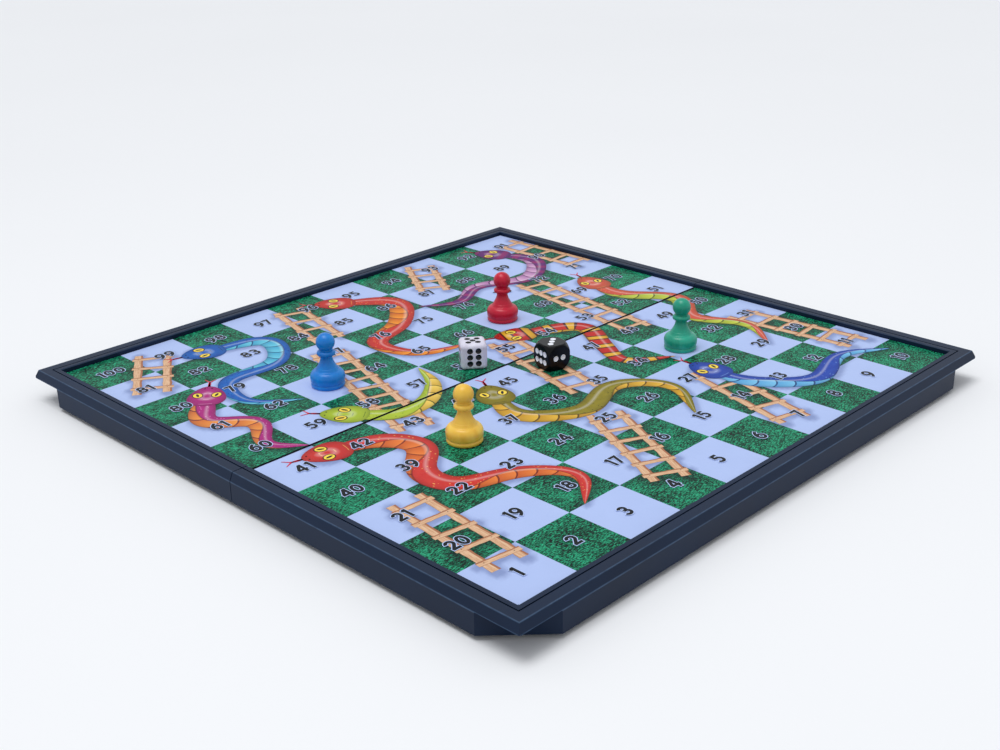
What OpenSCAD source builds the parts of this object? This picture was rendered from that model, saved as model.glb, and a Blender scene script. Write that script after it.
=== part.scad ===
// Folding magnetic snakes and ladders board, open flat, with four pawns and two dice.
// Two shallow cases meet at the fold line (the X axis). +X is the player's right, +Y is the rear,
// and the board stands on its feet at z = 0. The front case folds down and under about the hinge.

/* [Board] */
// Side of one square of the grid
square_w = 23.4; // [20:0.1:28]
// Plain margin of the printed sheet outside the grid
sheet_margin = 1.5; // [0.5:0.1:4]
// Width of the flat top of the raised rim
rim_w = 6; // [4.5:0.1:8]
// Height of the rim above the play face
rim_rise = 1.8; // [1:0.1:2.4]
// Outward lean of the rim's edge
rim_lean = 1.3; // [0.3:0.1:1.8]
// Height of the rim's leaning edge
rim_edge_h = 3; // [2.7:0.1:3.4]
// Radius of the rim's outer corners
rim_corner_r = 1; // [0.5:0.1:3]
// Height of the open board's rim above the table
board_h = 12; // [11.6:0.1:16]
// Thickness of the outer walls and of the walls at the fold
wall_t = 2; // [1.6:0.1:2.6]
// Thickness of the deck under the play face
deck_t = 1.2; // [0.8:0.1:1.5]
// Leg of the diagonal cut across each wall corner, under the rim
corner_cut = 16.5; // [8:0.5:17]
// Distance from the rim's inner edge to the middle of its groove
groove_in = 2.2; // [1.5:0.1:3]
// Width of the groove in the rim
groove_w = 0.5; // [0.3:0.05:0.8]
// Depth of the groove in the rim
groove_d = 0.4; // [0.2:0.05:0.6]
// Small bevel on the rim's inner edge
edge_bevel = 0.3; // [0.1:0.05:0.5]

/* [Layers] */
// Thickness of the steel plate that the pawns' magnets hold to
steel_t = 0.3; // [0.2:0.05:0.6]
// Thickness of the printed sheet
sheet_t = 0.3; // [0.15:0.05:0.5]
// Gap between the layers and the rim around them
layer_gap = 0.15; // [0.1:0.05:0.4]
// How far the layers stop short of the fold
fold_setback = 0.3; // [0.2:0.05:0.6]

/* [Fold] */
// Gap between the two cases at the fold
fold_gap = 0.3; // [0.2:0.05:0.6]
// Height of the feet, and so of the plane where the folded cases meet
foot_h = 1.6; // [1.5:0.05:1.9]
// Gap between each case and the plane where they meet
meet_gap = 0.05; // [0.02:0.01:0.15]
// Distance from the board's side to the middle of each hinge
hinge_from_side = 55; // [40:1:65]
// Length of one knuckle with its gap
knuckle_pitch = 8; // [6:0.5:9]
// Gap between neighbouring knuckles
knuckle_gap = 0.3; // [0.2:0.05:0.6]
// Radius of the hinge pin
pin_r = 0.6; // [0.5:0.05:0.75]
// Radial clearance of the hinge pin in its knuckles
pin_clear = 0.05; // [0.02:0.01:0.1]
// Radial clearance of the knuckles in the other case
swing_clear = 0.3; // [0.2:0.05:0.5]
// Thickness of the pad behind each hinge
hinge_pad_t = 2.2; // [1.5:0.1:3]
// Height of the pad behind each hinge
hinge_pad_h = 4; // [3:0.1:4.5]

/* [Feet] */
// Radius of a rubber foot
foot_r = 2.5; // [2:0.1:3]
// Bevel round a foot's lower edge
foot_bevel = 0.3; // [0.1:0.05:0.6]
// Radius of a foot's stem
stem_r = 1.2; // [0.8:0.1:1.5]
// Length of a foot's stem
stem_l = 3; // [2:0.1:4.5]
// Distance from the board's side to the rear case's feet
foot_from_side = 22; // [18:0.5:30]
// Distance along the wall from a foot to the pocket for the other case's foot
foot_pitch = 14; // [10:0.5:20]
// Radius of the bosses that hold feet and magnets
boss_r = 4.2; // [4.2:0.1:5]
// Clearance around a foot in its pocket
pocket_clear = 0.3; // [0.2:0.05:0.5]
// Clearance around a stem or a magnet in its hole
seat_clear = 0.05; // [0.02:0.01:0.1]

/* [Latch magnets] */
// Radius of a latch magnet
latch_r = 3; // [2:0.1:3.2]
// Height of a latch magnet
latch_h = 2.5; // [1.5:0.1:4]
// How deep a latch magnet sits behind the plane where the cases meet
latch_sink = 0.1; // [0.05:0.05:0.3]
// Distance from the board's side to each latch magnet
latch_from_side = 87; // [65:1:105]

/* [Pawns] */
// Height of a pawn
pawn_h = 20.4; // [19.6:0.1:23]
// Largest radius of a pawn's foot
pawn_base_r = 6.4; // [5.8:0.1:6.5]
// Radius of the flat under a pawn
pawn_flat_r = 5.3; // [4.6:0.1:5.6]
// Height of a pawn's two-ringed foot
pawn_base_h = 6.6; // [5.8:0.1:7]
// Radius of the skirt where it meets the foot
pawn_skirt_r = 4.4; // [3.8:0.1:4.8]
// Radius of the waist
pawn_waist_r = 2.35; // [1.8:0.05:2.8]
// Height of the waist above the flat under the pawn
pawn_waist_z = 10.9; // [10:0.1:11.3]
// Radius of the collar
pawn_collar_r = 3.4; // [3:0.05:3.9]
// Height of the middle of the collar
pawn_collar_z = 12.8; // [12.4:0.1:13.4]
// Half the thickness of the collar
pawn_collar_e = 1.1; // [0.8:0.05:1.2]
// Radius of the ball
pawn_ball_r = 3.45; // [3.1:0.05:3.8]
// Radius of the magnet in a pawn
pawn_magnet_r = 3; // [2:0.1:3.5]
// Height of the magnet in a pawn
pawn_magnet_h = 2; // [1.5:0.1:3]
// How deep the magnet sits in a pawn
pawn_magnet_sink = 0.2; // [0.1:0.05:0.4]

/* [Dice] */
// Side of a die
die_w = 10; // [8:0.1:11]
// Depth of a pip
pip_d = 0.3; // [0.15:0.05:0.4]

/* [Hidden] */

// Facets of round parts, of the small balls that round a die, and of the ball that cuts one
$fn = 64;
ball_fn = 24;
cut_ball_fn = 128;
// Overrun of every cut past the face it opens
over = 1;
// How far a boss or a pad is sunk into the wall that carries it
merge = 0.6;

// Squares from the fold to the rear or front edge of the grid
rows_n = 5;
// Knuckles in one hinge; the even ones belong to the rear case
knuckles_n = 5;

// Plan sizes: the recess for the layers, the whole board, and a cut that runs right across it
recess_half = rows_n * square_w + sheet_margin;
board_half = recess_half + rim_w + rim_lean;
across = 2 * (board_half + over);
fold_y = fold_gap / 2;

// Heights from the table up
meet_z = foot_h + meet_gap;
play_z = board_h - rim_rise;
sheet_z = play_z - sheet_t;
floor_z = sheet_z - steel_t;
hollow_z = floor_z - deck_t;
rim_edge_z = board_h - rim_edge_h;

// The knuckles clear the table by a little more than the cases clear each other
knuckle_r = foot_h - 2 * meet_gap;
hinge_l = knuckles_n * knuckle_pitch;
hinge_start = board_half - hinge_from_side - hinge_l / 2;
bore_r = pin_r + pin_clear;

// A pin goes in from the middle of the board, through a groove as long as itself
pin_way_l = hinge_l;

// Places of the bosses along the outer wall
boss_y = board_half - wall_t - boss_r + merge;
rear_foot_x = board_half - foot_from_side;
front_foot_x = rear_foot_x - foot_pitch;
latch_x = board_half - latch_from_side;
boss_xs = [rear_foot_x, front_foot_x, latch_x];

// A corner cut's leg shrinks by this share of an inset
cut_inset_share = 2 - sqrt(2);

// Places of the pieces on the grid, in squares right of and behind the board's middle
blue_place_share = [-2.46, 1.5];
red_place_share = [1.46, 1.5];
green_place_share = [2.44, -1.64];
yellow_place_share = [-2.43, -1.52];
white_die_place_share = [-0.37, 0.39];
black_die_place_share = [0.44, -0.59];
white_die_turn = -38;
black_die_turn = -13;

// What the dice show on their tops, fronts and left sides; opposite faces add up to seven
white_die_shows = [5, 6, 4];
black_die_shows = [3, 2, 6];
faces_sum = 7;

// A die's details as shares of its side: the white die's round edges, the black die's ball-cut
// corners, a pip's radius, the spacing of the pips, and the offset of a row of three
white_round_share = 0.15;
black_ball_share = 0.7;
pip_r_share = 0.09;
pip_pitch_share = 0.25;
pip_row_share = 0.16;

// Shares that shape a pawn: of its foot's height, the radius of the lower ring; of that radius, the
// heights of both rings' middles, the radius of the upper one and the step up to the skirt; of the
// collar's half thickness, its edge; and of the mean radius of waist and ball, the neck
ring_share = 0.25;
low_ring_z_share = 1.1;
high_ring_z_share = 2.75;
high_ring_r_share = 1.12;
skirt_step_share = 0.3;
collar_edge_share = 0.85;
neck_share = 0.93;

// Outline points of one rear half with its two outer corners cut, drawn in from every side by inset
// but from the fold, where it starts at y_low
function cut_outline(inset, y_low) =
    let (w = board_half - inset, c = corner_cut - inset * cut_inset_share)
    [[-w, y_low], [w, y_low], [w, w - c], [w - c, w], [c - w, w], [-w, w - c]];

// Points of an arc about a centre, from one angle to another
function arc(centre, r, from, to, n) =
    [for (i = [0 : n]) let (a = from + (to - from) * i / n) centre + r * [cos(a), sin(a)]];

// Points of a curve from p to q that leaves p towards a and reaches q from b
function bend(p, a, b, q, n) =
    [for (i = [0 : n]) let (t = i / n, s = 1 - t)
        s * s * s * p + 3 * s * s * t * a + 3 * s * t * t * b + t * t * t * q];

// Two copies, right and left of the middle
module both_sides() {
    children();
    mirror([1, 0, 0]) children();
}

// A bar along X about the fold's axis
module fold_bar(r, x_from, length) {
    translate([x_from, 0, foot_h])
        rotate([0, 90, 0])
            cylinder(r = r, h = length);
}

// The slots of one half's knuckles, as start positions along one hinge
function slots(first) =
    [for (i = [first : 2 : knuckles_n - 1]) hinge_start + i * knuckle_pitch];

// The rim over the whole half, from the foot of its leaning edge to its top
module rim_plate() {
    difference() {
        translate([0, 0, rim_edge_z])
            linear_extrude(rim_edge_h)
                rim_plan();
        // the leaning edge on the left and right, then on the outer side
        both_sides()
            rotate([90, 0, 0])
                linear_extrude(across, center = true)
                    lean_section();
        rotate([90, 0, 90])
            linear_extrude(across, center = true)
                lean_section();
    }
}

// The half board's plan with round outer corners
module rim_plan() {
    in = board_half - rim_corner_r;
    translate([-board_half, fold_y])
        square([2 * board_half, in - fold_y]);
    translate([-in, fold_y])
        square([2 * in, board_half - fold_y]);
    both_sides()
        translate([in, in])
            circle(r = rim_corner_r);
}

// What the leaning edge takes away
module lean_section() {
    polygon([[board_half - rim_lean, board_h], [board_half, rim_edge_z],
             [board_half + over, rim_edge_z], [board_half + over, board_h + over],
             [board_half - rim_lean, board_h + over]]);
}

// The bevel along the rim's inner edge, as it cuts the plate from the play side
module inner_bevel_section() {
    polygon([[recess_half - over, board_h - edge_bevel], [recess_half, board_h - edge_bevel],
             [recess_half + edge_bevel, board_h], [recess_half + edge_bevel, board_h + over],
             [recess_half - over, board_h + over]]);
}

// One half case, for the rear: first is its first knuckle, foot_x carries its feet and
// pocket_x takes the other case's feet
module half_case(first, foot_x, pocket_x) {
    difference() {
        union() {
            difference() {
                union() {
                    rim_plate();
                    translate([0, 0, meet_z])
                        linear_extrude(rim_edge_z - meet_z)
                            polygon(cut_outline(0, fold_y));
                }
                // storage hollow, open below
                translate([0, 0, meet_z - over])
                    linear_extrude(hollow_z - meet_z + over)
                        polygon(cut_outline(wall_t, fold_y + wall_t));
                // recess for the steel plate and the printed sheet, open at the fold
                translate([-recess_half, -over, floor_z])
                    cube([2 * recess_half, recess_half + over, board_h]);
                rim_cuts();
                // room for the other half's knuckles
                both_sides()
                    for (x = slots(1 - first))
                        fold_bar(knuckle_r + swing_clear, x, knuckle_pitch);
            }
            both_sides() {
                hinge_pad(first);
                for (x = slots(first))
                    fold_bar(knuckle_r, x + knuckle_gap / 2, knuckle_pitch - knuckle_gap);
                for (x = boss_xs)
                    boss(x);
            }
        }
        both_sides() {
            // bore for the hinge pin, and the way in for it from the middle of the board
            fold_bar(bore_r, hinge_start - over, hinge_l + 2 * over);
            fold_bar(bore_r + swing_clear, hinge_start - pin_way_l, pin_way_l);
            translate([foot_x, boss_y, meet_z - over])
                cylinder(r = stem_r + seat_clear, h = stem_l + over);
            translate([pocket_x, boss_y, meet_z - over])
                cylinder(r = foot_r + pocket_clear, h = foot_h + pocket_clear + over);
            translate([latch_x, boss_y, meet_z - over])
                cylinder(r = latch_r + seat_clear, h = latch_sink + latch_h + over);
        }
    }
}

// The groove round the rim's top and the bevel along its inner edge
module rim_cuts() {
    groove_half = recess_half + groove_in;
    translate([0, 0, board_h - groove_d])
        linear_extrude(groove_d + over)
            difference() {
                translate([-groove_half - groove_w / 2, -over])
                    square([2 * groove_half + groove_w, groove_half + groove_w / 2 + over]);
                translate([groove_w / 2 - groove_half, -2 * over])
                    square([2 * groove_half - groove_w, groove_half - groove_w / 2 + 2 * over]);
            }
    both_sides()
        rotate([90, 0, 0])
            translate([0, 0, -recess_half])
                linear_extrude(recess_half + over)
                    inner_bevel_section();
    rotate([90, 0, 90])
        linear_extrude(2 * recess_half, center = true)
            inner_bevel_section();
}

// The pad that stiffens the fold wall behind one hinge, cut clear of the other half's knuckles
module hinge_pad(first) {
    difference() {
        translate([hinge_start - wall_t, fold_y + wall_t - merge, meet_z])
            cube([hinge_l + 2 * wall_t, hinge_pad_t + merge, hinge_pad_h]);
        for (x = slots(1 - first))
            fold_bar(knuckle_r + swing_clear, x, knuckle_pitch);
    }
}

// A round boss from the meeting plane up to the deck
module boss(x) {
    translate([x, boss_y, meet_z])
        cylinder(r = boss_r, h = hollow_z + deck_t / 2 - meet_z);
}

// One layer in the rear recess, from z_low up by t
module layer(z_low, t) {
    half = recess_half - layer_gap;
    y_low = fold_y + fold_setback;
    translate([-half, y_low, z_low])
        cube([2 * half, half - y_low, t]);
}

// A rubber foot: a disc under the boss with a stem in it
module foot(x) {
    translate([x, boss_y, 0])
        rotate_extrude()
            polygon([[0, 0], [foot_r - foot_bevel, 0], [foot_r, foot_bevel], [foot_r, meet_z],
                     [stem_r, meet_z], [stem_r, meet_z + stem_l - seat_clear],
                     [0, meet_z + stem_l - seat_clear]]);
}

// A latch magnet in its boss
module latch_magnet() {
    translate([latch_x, boss_y, meet_z + latch_sink])
        cylinder(r = latch_r, h = latch_h);
}

// One hinge's pin, at the right
module hinge_pin() {
    fold_bar(pin_r, hinge_start + knuckle_gap / 2, hinge_l - knuckle_gap);
}

// Everything that stands on the square at a place given in squares
module on_board(place_share) {
    translate([place_share[0] * square_w, place_share[1] * square_w, play_z])
        children();
}

// Half the outline of a pawn, from the flat under it up to the top of its ball
function pawn_outline() =
    let (
        ring = pawn_base_h * ring_share,
        high_ring = ring * high_ring_r_share,
        step = ring * skirt_step_share,
        ball_z = pawn_h - pawn_ball_r,
        edge = pawn_collar_e * collar_edge_share,
        seat_z = pawn_collar_z + pawn_collar_e,
        neck_a = asin((seat_z + pawn_collar_e / 2 - ball_z) / pawn_ball_r)
    )
    concat(
        [[0, 0], [pawn_flat_r, 0]],
        arc([pawn_base_r - ring, ring * low_ring_z_share], ring, -35, 62, 8),
        arc([pawn_base_r - high_ring, ring * high_ring_z_share], high_ring, -42, 58, 8),
        [[(pawn_skirt_r + pawn_base_r) / 2, pawn_base_h]],
        bend([pawn_skirt_r, pawn_base_h + step],
             [pawn_waist_r + ring / 2, pawn_base_h + ring],
             [pawn_waist_r, pawn_waist_z - ring],
             [pawn_waist_r, pawn_waist_z], 10),
        [[pawn_waist_r, pawn_collar_z - pawn_collar_e]],
        arc([pawn_collar_r - edge, pawn_collar_z], edge, -70, 70, 8),
        [[(pawn_waist_r + pawn_ball_r) / 2 * neck_share, seat_z]],
        arc([0, ball_z], pawn_ball_r, neck_a, 90, 18)
    );

// A pawn, hollowed below for its magnet
module pawn() {
    difference() {
        rotate_extrude()
            polygon(pawn_outline());
        translate([0, 0, -over])
            cylinder(r = pawn_magnet_r + seat_clear, h = pawn_magnet_sink + pawn_magnet_h + over);
    }
}

// The magnet in a pawn
module pawn_magnet() {
    translate([0, 0, pawn_magnet_sink])
        cylinder(r = pawn_magnet_r, h = pawn_magnet_h);
}

// Places of the pips for one number, in units across and up the face
function pips(count) =
    let (p = die_w * pip_pitch_share, r = die_w * pip_row_share)
    count == 1 ? [[0, 0]] :
    count == 2 ? [[-r, 0], [r, 0]] :
    count == 3 ? [[-p, -p], [0, 0], [p, p]] :
    count == 4 ? [[-p, -p], [-p, p], [p, -p], [p, p]] :
    count == 5 ? [[-p, -p], [-p, p], [0, 0], [p, -p], [p, p]] :
    [[-r, -p], [-r, 0], [-r, p], [r, -p], [r, 0], [r, p]];

// The dimples of one face, cut from a cube about the origin into its top
module face_pips(count) {
    pip_r = die_w * pip_r_share;
    ball = (pip_r * pip_r + pip_d * pip_d) / (2 * pip_d);
    for (at = pips(count))
        translate([at[0], at[1], die_w / 2 + ball - pip_d])
            sphere(r = ball, $fn = ball_fn);
}

// A cube with round edges, about the origin
module round_cube() {
    round_r = die_w * white_round_share;
    in = die_w / 2 - round_r;
    hull()
        for (x = [-in, in], y = [-in, in], z = [-in, in])
            translate([x, y, z])
                sphere(r = round_r, $fn = ball_fn);
}

// A cube with its corners cut round by a ball, about the origin
module ball_cut_cube() {
    intersection() {
        cube(die_w, center = true);
        sphere(r = die_w * black_ball_share, $fn = cut_ball_fn);
    }
}

// A die from the cube given to it, with what it shows on its top, front and left side
module die(shows) {
    translate([0, 0, die_w / 2])
        difference() {
            children();
            face_pips(shows[0]);
            rotate([180, 0, 0]) face_pips(faces_sum - shows[0]);
            rotate([90, 0, 0]) face_pips(shows[1]);
            rotate([-90, 0, 0]) face_pips(faces_sum - shows[1]);
            rotate([0, -90, 0]) face_pips(shows[2]);
            rotate([0, 90, 0]) face_pips(faces_sum - shows[2]);
        }
}

module rear_case() {
    color([0.06, 0.07, 0.12]) half_case(0, rear_foot_x, front_foot_x);
}

module front_case() {
    color([0.06, 0.07, 0.12]) mirror([0, 1, 0]) half_case(1, front_foot_x, rear_foot_x);
}

module rear_steel_plate() {
    color([0.62, 0.63, 0.65]) layer(floor_z, steel_t);
}

module front_steel_plate() {
    color([0.62, 0.63, 0.65]) mirror([0, 1, 0]) layer(floor_z, steel_t);
}

module rear_play_sheet() {
    color([0.45, 0.68, 0.58]) layer(sheet_z, sheet_t);
}

module front_play_sheet() {
    color([0.45, 0.68, 0.58]) mirror([0, 1, 0]) layer(sheet_z, sheet_t);
}

module left_hinge_pin() {
    color([0.72, 0.72, 0.74]) mirror([1, 0, 0]) hinge_pin();
}

module right_hinge_pin() {
    color([0.72, 0.72, 0.74]) hinge_pin();
}

module rear_feet() {
    color([0.1, 0.1, 0.1]) both_sides() foot(rear_foot_x);
}

module front_feet() {
    color([0.1, 0.1, 0.1]) mirror([0, 1, 0]) both_sides() foot(front_foot_x);
}

module rear_latch_magnets() {
    color([0.75, 0.75, 0.77]) both_sides() latch_magnet();
}

module front_latch_magnets() {
    color([0.75, 0.75, 0.77]) mirror([0, 1, 0]) both_sides() latch_magnet();
}

module blue_pawn() {
    color([0.02, 0.33, 0.75]) on_board(blue_place_share) pawn();
}

module blue_pawn_magnet() {
    color([0.2, 0.2, 0.22]) on_board(blue_place_share) pawn_magnet();
}

module red_pawn() {
    color([0.78, 0.03, 0.14]) on_board(red_place_share) pawn();
}

module red_pawn_magnet() {
    color([0.2, 0.2, 0.22]) on_board(red_place_share) pawn_magnet();
}

module green_pawn() {
    color([0.06, 0.55, 0.36]) on_board(green_place_share) pawn();
}

module green_pawn_magnet() {
    color([0.2, 0.2, 0.22]) on_board(green_place_share) pawn_magnet();
}

module yellow_pawn() {
    color([0.93, 0.72, 0.12]) on_board(yellow_place_share) pawn();
}

module yellow_pawn_magnet() {
    color([0.2, 0.2, 0.22]) on_board(yellow_place_share) pawn_magnet();
}

module white_die() {
    color([0.9, 0.9, 0.92])
        on_board(white_die_place_share)
            rotate([0, 0, white_die_turn])
                die(white_die_shows) round_cube();
}

module black_die() {
    color([0.04, 0.04, 0.06])
        on_board(black_die_place_share)
            rotate([0, 0, black_die_turn])
                die(black_die_shows) ball_cut_cube();
}

rear_case();
front_case();
rear_steel_plate();
front_steel_plate();
rear_play_sheet();
front_play_sheet();
left_hinge_pin();
right_hinge_pin();
rear_feet();
front_feet();
rear_latch_magnets();
front_latch_magnets();
blue_pawn();
blue_pawn_magnet();
red_pawn();
red_pawn_magnet();
green_pawn();
green_pawn_magnet();
yellow_pawn();
yellow_pawn_magnet();
white_die();
black_die();
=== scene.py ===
import math

import bmesh
import bpy
import numpy as np
from mathutils import Matrix, Vector


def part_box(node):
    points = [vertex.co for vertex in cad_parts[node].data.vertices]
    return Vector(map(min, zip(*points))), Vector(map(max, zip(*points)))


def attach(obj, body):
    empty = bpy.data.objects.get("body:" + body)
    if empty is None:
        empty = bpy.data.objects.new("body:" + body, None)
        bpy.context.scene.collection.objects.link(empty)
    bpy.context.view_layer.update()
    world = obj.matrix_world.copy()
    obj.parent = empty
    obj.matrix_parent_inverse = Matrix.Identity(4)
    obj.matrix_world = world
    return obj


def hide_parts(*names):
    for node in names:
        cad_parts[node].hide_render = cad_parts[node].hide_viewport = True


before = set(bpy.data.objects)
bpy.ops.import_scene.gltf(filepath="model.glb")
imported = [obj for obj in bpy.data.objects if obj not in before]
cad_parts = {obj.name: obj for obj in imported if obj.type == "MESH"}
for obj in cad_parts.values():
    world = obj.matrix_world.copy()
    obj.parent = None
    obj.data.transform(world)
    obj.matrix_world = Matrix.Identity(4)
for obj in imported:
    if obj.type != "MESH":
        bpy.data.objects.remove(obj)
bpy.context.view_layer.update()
mm = 0.001

# The board, measured from the frame
halves = {"rear": {"body": "rear_half", "side": 1}, "front": {"body": "front_half", "side": -1}}
sheetLow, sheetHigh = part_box("rear_play_sheet")
board = {
    "square": 23.4 * mm,
    "squaresAcross": 10,
    "top": sheetHigh[2],
    "edgeX": sheetHigh[0],
    "edgeY": sheetHigh[1],
    "foldY": sheetLow[1],
}
square = board["square"]


def place(column, row):
    # middle of a square: columns count from the left, rows from the front, both from zero
    middle = (board["squaresAcross"] - 1) / 2
    return np.array([(column - middle) * square, (row - middle) * square])


# Colour and shader helpers

def paint(red, green, blue):
    # a screen colour, 0 to 255 a channel, as the linear colour that shaders take
    screen = np.array([red, green, blue]) / 255
    linear = np.where(screen <= 0.04045, screen / 12.92, ((screen + 0.055) / 1.055) ** 2.4)
    return (*linear.tolist(), 1.0)


def asColour(tone):
    # three numbers are a screen colour; four are linear already, and a socket stays as it is
    if isinstance(tone, bpy.types.NodeSocket) or len(tone) == 4:
        return tone
    return paint(*tone)


def addNode(tree, kind, inputs=None, **settings):
    made = tree.nodes.new("ShaderNode" + kind)
    for key, value in settings.items():
        setattr(made, key, value)
    for key, value in (inputs or {}).items():
        if isinstance(value, bpy.types.NodeSocket):
            tree.links.new(value, made.inputs[key])
        else:
            made.inputs[key].default_value = value
    return made


def newMaterial(name, **sockets):
    material = bpy.data.materials.new(name)
    material.use_nodes = True
    tree = material.node_tree
    shader = tree.nodes["Principled BSDF"]
    for key, value in sockets.items():
        shader.inputs[key.replace("_", " ")].default_value = value
    return material, shader, tree


def feed(node, socket, output):
    node.id_data.links.new(output, node.inputs[socket])


def treeOf(*values):
    # the node tree that the first socket among the values belongs to
    return next(value.id_data for value in values if isinstance(value, bpy.types.NodeSocket))


def calc(operation, first, second=0.0, clamp=False):
    made = addNode(treeOf(first, second), "Math", {0: first, 1: second}, operation=operation)
    made.use_clamp = clamp
    return made.outputs[0]


def times(first, second):
    return calc("MULTIPLY", first, second)


def plus(first, second):
    return calc("ADD", first, second)


def extreme(operation, values):
    # the maximum or minimum of several values
    result = values[0]
    for value in values[1:]:
        result = calc(operation, result, value)
    return result


def blendColour(share, low, high):
    colours = {0: share, 6: asColour(low), 7: asColour(high)}
    return addNode(treeOf(share, low, high), "Mix", colours, data_type="RGBA").outputs[2]


def overlay(mask, share, under, over):
    # the colour over shows at the mask's strength times the share
    return blendColour(times(mask, share), under, over)


def ramp(value, stops, interpolation="LINEAR"):
    made = addNode(treeOf(value), "ValToRGB", {0: value})
    made.color_ramp.interpolation = interpolation
    elements = made.color_ramp.elements
    while len(elements) < len(stops):
        elements.new(0.5)
    for element, (position, tone) in zip(elements, stops):
        element.position = position
        element.color = asColour(tone)
    return made.outputs[0]


def attribute(tree, name):
    return addNode(tree, "Attribute", attribute_name=name).outputs["Fac"]


def coordinates(tree, scale=(1, 1, 1), turn=(0, 0, 0)):
    start = addNode(tree, "TexCoord").outputs["Object"]
    mapping = addNode(tree, "Mapping", {"Vector": start, "Scale": scale, "Rotation": turn})
    return mapping.outputs[0]


def noise(vector, scale, detail=2.0, roughness=0.5, distortion=0.0):
    inputs = {"Vector": vector, "Scale": scale, "Detail": detail, "Roughness": roughness,
              "Distortion": distortion}
    return addNode(treeOf(vector), "TexNoise", inputs).outputs["Fac"]


def surfaceNoise(tree, scale, detail=2.0, roughness=0.5):
    return noise(coordinates(tree), scale, detail, roughness)


def ribbonFlow(tree, rates, shift=0.0):
    # a place on a ribbon: the distances along and across it, each at its rate, and a shift of its own
    along, across = (times(attribute(tree, key), rate) for key, rate in zip(("along", "across"), rates))
    return addNode(tree, "CombineXYZ", {0: along, 1: across, 2: shift}).outputs[0]


def varyRoughness(shader, value, middle, spread):
    feed(shader, "Roughness", plus(times(value, spread), middle - spread / 2))


def addBump(shader, height, strength, distance):
    bump = addNode(treeOf(height), "Bump", {"Height": height, "Strength": strength, "Distance": distance})
    feed(shader, "Normal", bump.outputs[0])


# Print inks

filmLook = {"gloss": 0.42, "specular": 0.1, "peel": 700.0, "peelStrength": 0.12, "peelDepth": 0.1 * mm}


def filmShader(name, gloss=filmLook["gloss"]):
    # the laminated sheet: satin gloss with a faint orange-peel surface
    material, shader, tree = newMaterial(name, Roughness=gloss, Specular_IOR_Level=filmLook["specular"])
    peel = surfaceNoise(tree, filmLook["peel"], 1.0)
    addBump(shader, peel, filmLook["peelStrength"], filmLook["peelDepth"])
    return material, shader, tree


paperLook = {"tone": (179, 198, 243), "shade": (98, 114, 166), "clouds": 90.0, "cloudShare": 0.12,
             "shadeShare": 0.62}


def makePaper():
    # pale squares with slow clouds, darker in the drawn shadows
    material, shader, tree = filmShader("paperInk")
    clouds = surfaceNoise(tree, paperLook["clouds"], 3.0)
    tint = overlay(clouds, paperLook["cloudShare"], paperLook["tone"], paperLook["shade"])
    shaded = overlay(attribute(tree, "shade"), paperLook["shadeShare"], tint, paperLook["shade"])
    feed(shader, "Base Color", shaded)
    return material


grassLook = {
    "stops": [(0.44, (0, 16, 14)), (0.475, (0, 52, 36)), (0.51, (2, 106, 76)), (0.575, (44, 170, 126))],
    "blades": [(0.5, 1.0), (1.6, 1.15), (2.6, 0.9)],  # a direction in radians and a share of the scale
    "bladeScale": 950.0,
    "bladeLong": 3.6,
    "bladeBend": 0.4,
    "mottle": 150.0,
    "mottleShare": 0.15,
    "shade": (0.002, 0.012, 0.012, 1.0),
    "shadeShare": 0.6,
}


def makeGrass():
    # short blades: noises stretched along three crossed directions, the mean of the highest and the lowest,
    # over a slower mottle
    material, shader, tree = filmShader("grassInk")
    layers = []
    for turn, rate in grassLook["blades"]:
        along = coordinates(tree, (1, grassLook["bladeLong"], 1), (0, 0, turn))
        layers.append(noise(along, grassLook["bladeScale"] * rate, 1.0, 0.5, grassLook["bladeBend"]))
    ends = [extreme(operation, layers) for operation in ("MAXIMUM", "MINIMUM")]
    blades = times(plus(*ends), 0.5)
    mottle = surfaceNoise(tree, grassLook["mottle"])
    share = grassLook["mottleShare"]
    value = plus(times(blades, 1 - share), times(mottle, share))
    colour = ramp(value, grassLook["stops"])
    dark = attribute(tree, "shade")
    shaded = overlay(dark, grassLook["shadeShare"], colour, grassLook["shade"])
    feed(shader, "Base Color", shaded)
    return material


inkLook = {"gloss": 0.34, "grain": 500.0, "lighter": 1.18, "lift": 0.004}


def makeInk(name, tone):
    # a plain print colour, uneven by a few per cent as ink is
    material, shader, tree = filmShader(name, inkLook["gloss"])
    grain = surfaceNoise(tree, inkLook["grain"])
    colour = paint(*tone)
    lighter = [min(1.0, channel * inkLook["lighter"] + inkLook["lift"]) for channel in colour[:3]]
    feed(shader, "Base Color", blendColour(grain, colour, (*lighter, 1.0)))
    return material


plankLook = {
    "grainRates": (180.0, 3.0), "grain": 1.4, "grainRough": 0.6, "grainBend": 0.6,
    "face": [(0.3, (190, 142, 108)), (0.5, (216, 174, 138)), (0.72, (232, 200, 168))],
    "side": (168, 112, 82), "sideFrom": -0.52,
    "line": (110, 62, 44), "lineFrom": 0.93, "lineShare": 0.55,
}


def makePlank():
    # wood drawn flat: long grain, and a darker strip along one edge for the plank's side
    material, shader, tree = filmShader("plankInk")
    across = attribute(tree, "across")
    flow = ribbonFlow(tree, plankLook["grainRates"], attribute(tree, "plank"))
    grain = noise(flow, plankLook["grain"], 4.0, plankLook["grainRough"], plankLook["grainBend"])
    face = ramp(grain, plankLook["face"])
    side = calc("LESS_THAN", across, plankLook["sideFrom"])
    line = calc("GREATER_THAN", calc("ABSOLUTE", across), plankLook["lineFrom"])
    planked = blendColour(side, face, plankLook["side"])
    feed(shader, "Base Color", overlay(line, plankLook["lineShare"], planked, plankLook["line"]))
    return material


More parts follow.
